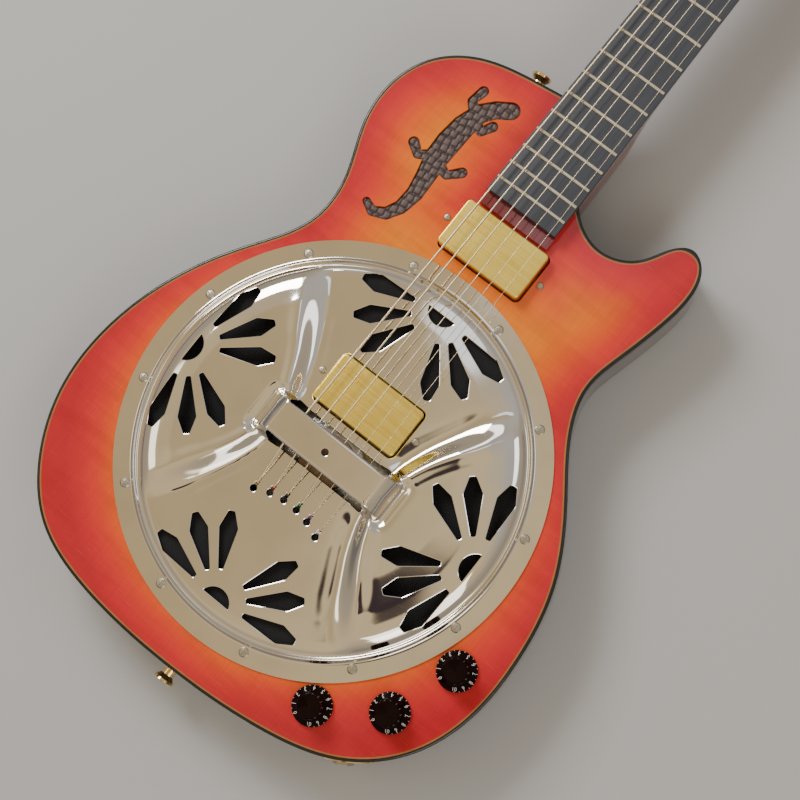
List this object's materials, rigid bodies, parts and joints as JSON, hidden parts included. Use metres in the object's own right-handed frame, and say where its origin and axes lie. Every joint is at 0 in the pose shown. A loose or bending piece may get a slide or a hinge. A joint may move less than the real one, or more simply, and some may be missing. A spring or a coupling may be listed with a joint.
{
  "type": "resonator guitar",
  "caption": "Electric resonator guitar: cherry sunburst single-cutaway body, nickel cover plate with fan holes over a spun cone, gold pickups, long neck and geared tuners.",
  "frame": {"origin": "on the flat back, straight under the middle of the round cover plate", "axes": "+Y along the strings to the headstock, +X to the treble side, +Z out of the top; the guitar lies on its back"},
  "size_m": [0.3333, 0.9864, 0.0695],
  "materials": {
    "sides_lacquer": "dark gloss lacquer over mahogany",
    "sunburst_lacquer": "cherry sunburst gloss lacquer over flamed maple",
    "binding_black": "polished black binding",
    "binding_cream": "cream purfling line",
    "leather": "embossed reptile-style leather",
    "nickel": "polished nickel plate",
    "screen": "black woven screen",
    "spun_aluminium": "spun satin",
    "maple": "bare maple",
    "neck_lacquer": "dark cherry gloss lacquer",
    "ebony": "oiled ebony",
    "fret_wire": "polished gold-tone fret wire",
    "bone": "polished bone",
    "dot_white": "pearloid",
    "steel": "zinc plated",
    "headstock_black": "black gloss",
    "gold": "gold plate, fine brushed",
    "coil_black": "taped coils",
    "knob_black": "black skirted knob with white numerals",
    "cover_black": "satin black plastic",
    "wire_sleeve": "cloth sleeved wire",
    "string_metal": "nickel wound and plain steel",
    "ball_metal": "coloured brass ball ends"
  },
  "bodies": {
    "body": {"body_shell": "sides_lacquer", "top_plate": "sunburst_lacquer", "body_binding": "binding_black", "purfling": "binding_cream", "leather_inlay": "leather", "cover_plate": "nickel", "cover_plate_screws": "steel", "screen_cloth": "screen", "resonator_cone": "spun_aluminium", "bridge_biscuit": "maple", "bridge_saddle": "maple", "biscuit_screw": "steel", "control_cover": "cover_black", "neck": "neck_lacquer", "fingerboard": "ebony", "frets": "fret_wire", "side_dots": "dot_white", "nut": "bone", "truss_rod": "steel", "truss_rod_cover": "cover_black", "headstock_veneer": "headstock_black", "neck_pickup_cover": "gold", "bridge_pickup_cover": "gold", "pickup_coils": "coil_black", "pickup_bases": "steel", "pickup_magnets": "steel", "pickup_height_screws": "steel", "pickup_springs": "steel", "control_pots": "steel", "pot_nuts_and_washers": "steel", "jack_plate": "gold", "jack_socket": "steel", "wiring": "wire_sleeve", "small_screws": "steel", "strap_buttons": "gold", "strap_button_screws": "gold", "strings": "string_metal", "ball_ends": "ball_metal", "tuner_housings": "gold", "tuner_bushings": "gold"},
    "neck_volume_control": {"neck_volume_knob": "knob_black", "neck_volume_shaft": "steel"},
    "bridge_volume_control": {"bridge_volume_knob": "knob_black", "bridge_volume_shaft": "steel"},
    "tone_control": {"tone_knob": "knob_black", "tone_shaft": "steel"},
    "post_1": {"tuner_post_1": "gold"},
    "key_1": {"tuner_key_1": "gold"},
    "post_2": {"tuner_post_2": "gold"},
    "key_2": {"tuner_key_2": "gold"},
    "post_3": {"tuner_post_3": "gold"},
    "key_3": {"tuner_key_3": "gold"},
    "post_4": {"tuner_post_4": "gold"},
    "key_4": {"tuner_key_4": "gold"},
    "post_5": {"tuner_post_5": "gold"},
    "key_5": {"tuner_key_5": "gold"},
    "post_6": {"tuner_post_6": "gold"},
    "key_6": {"tuner_key_6": "gold"}
  },
  "joints": [
    {"name": "neck_volume_turn", "type": "hinge", "parent": "body", "child": "neck_volume_control", "pos_m": [0.086, -0.123, 0.055], "axis": [0, 0, -1], "range_deg": [-150, 150]},
    {"name": "bridge_volume_turn", "type": "hinge", "parent": "body", "child": "bridge_volume_control", "pos_m": [0.125, -0.097, 0.055], "axis": [0, 0, -1], "range_deg": [-150, 150]},
    {"name": "tone_turn", "type": "hinge", "parent": "body", "child": "tone_control", "pos_m": [0.141, -0.053, 0.055], "axis": [0, 0, -1], "range_deg": [-150, 150]},
    {"name": "key_1_turn", "type": "hinge", "parent": "body", "child": "key_1", "pos_m": [-0.024, 0.68172, 0.02886], "axis": [-1, 0, 0], "continuous": true},
    {"name": "post_1_turn", "type": "hinge", "parent": "body", "child": "post_1", "pos_m": [-0.024, 0.69159, 0.04665], "axis": [0, 0.1392, 0.9903], "continuous": true},
    {"name": "key_2_turn", "type": "hinge", "parent": "body", "child": "key_2", "pos_m": [-0.0265, 0.72133, 0.02329], "axis": [-1, 0, 0], "continuous": true},
    {"name": "post_2_turn", "type": "hinge", "parent": "body", "child": "post_2", "pos_m": [-0.0265, 0.7312, 0.04109], "axis": [0, 0.1392, 0.9903], "continuous": true},
    {"name": "key_3_turn", "type": "hinge", "parent": "body", "child": "key_3", "pos_m": [-0.029, 0.76094, 0.01772], "axis": [-1, 0, 0], "continuous": true},
    {"name": "post_3_turn", "type": "hinge", "parent": "body", "child": "post_3", "pos_m": [-0.029, 0.77081, 0.03552], "axis": [0, 0.1392, 0.9903], "continuous": true},
    {"name": "key_4_turn", "type": "hinge", "parent": "body", "child": "key_4", "pos_m": [0.029, 0.76094, 0.01772], "axis": [1, 0, 0], "continuous": true},
    {"name": "post_4_turn", "type": "hinge", "parent": "body", "child": "post_4", "pos_m": [0.029, 0.77081, 0.03552], "axis": [0, 0.1392, 0.9903], "continuous": true},
    {"name": "key_5_turn", "type": "hinge", "parent": "body", "child": "key_5", "pos_m": [0.0265, 0.72133, 0.02329], "axis": [1, 0, 0], "continuous": true},
    {"name": "post_5_turn", "type": "hinge", "parent": "body", "child": "post_5", "pos_m": [0.0265, 0.7312, 0.04109], "axis": [0, 0.1392, 0.9903], "continuous": true},
    {"name": "key_6_turn", "type": "hinge", "parent": "body", "child": "key_6", "pos_m": [0.024, 0.68172, 0.02886], "axis": [1, 0, 0], "continuous": true},
    {"name": "post_6_turn", "type": "hinge", "parent": "body", "child": "post_6", "pos_m": [0.024, 0.69159, 0.04665], "axis": [0, 0.1392, 0.9903], "continuous": true}
  ],
  "couplings": [
    {"joint": "post_1_turn", "follows": "key_1_turn", "ratio": -0.071429},
    {"joint": "post_2_turn", "follows": "key_2_turn", "ratio": -0.071429},
    {"joint": "post_3_turn", "follows": "key_3_turn", "ratio": -0.071429},
    {"joint": "post_4_turn", "follows": "key_4_turn", "ratio": 0.071429},
    {"joint": "post_5_turn", "follows": "key_5_turn", "ratio": 0.071429},
    {"joint": "post_6_turn", "follows": "key_6_turn", "ratio": 0.071429}
  ]
}
